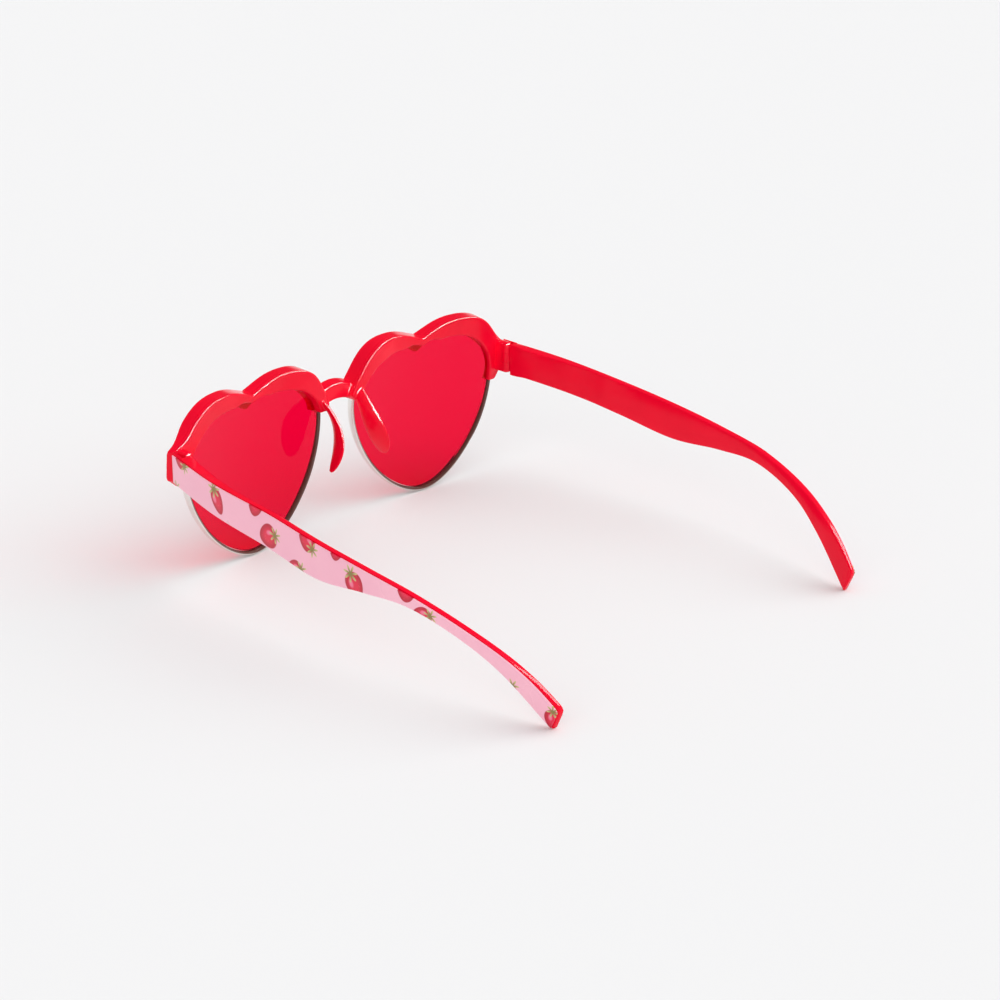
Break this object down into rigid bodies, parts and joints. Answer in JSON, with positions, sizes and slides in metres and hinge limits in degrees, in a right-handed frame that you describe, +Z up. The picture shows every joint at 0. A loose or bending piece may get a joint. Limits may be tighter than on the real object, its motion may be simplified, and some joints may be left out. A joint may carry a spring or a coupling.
{
  "type": "novelty sunglasses",
  "caption": "Red heart-lensed browline sunglasses with wire lower rims, moulded nose pads and folding temples faced with a pink strawberry print.",
  "frame": {"origin": "on the supporting surface, below the middle of the bounding box, with the sunglasses standing open", "axes": "+X to the wearer's left, +Y from the front to the temple tips, +Z up"},
  "size_m": [0.1536, 0.1562, 0.0547],
  "materials": {
    "brow_frame": "glossy injection-moulded red plastic",
    "lens": "clear red tinted plastic, polished",
    "rim_wire": "polished metal",
    "temple": "glossy injection-moulded red plastic",
    "temple_print": "printed facing under a clear coat",
    "hinge_screw": "plain steel"
  },
  "bodies": {
    "front": {"brow_frame": "brow_frame", "lens_left": "lens", "lens_right": "lens", "rim_wire_left": "rim_wire", "rim_wire_right": "rim_wire", "hinge_screw_left": "hinge_screw", "hinge_screw_right": "hinge_screw"},
    "left_temple": {"temple_left": "temple", "temple_print_left": "temple_print"},
    "right_temple": {"temple_right": "temple", "temple_print_right": "temple_print"}
  },
  "joints": [
    {"name": "left_hinge", "type": "hinge", "parent": "front", "child": "left_temple", "pos_m": [0.06736, -0.06585, 0.03795], "axis": [0, 0, 1], "range_deg": [0, 90]},
    {"name": "right_hinge", "type": "hinge", "parent": "front", "child": "right_temple", "pos_m": [-0.06736, -0.06585, 0.03795], "axis": [0, 0, -1], "range_deg": [0, 84]}
  ]
}
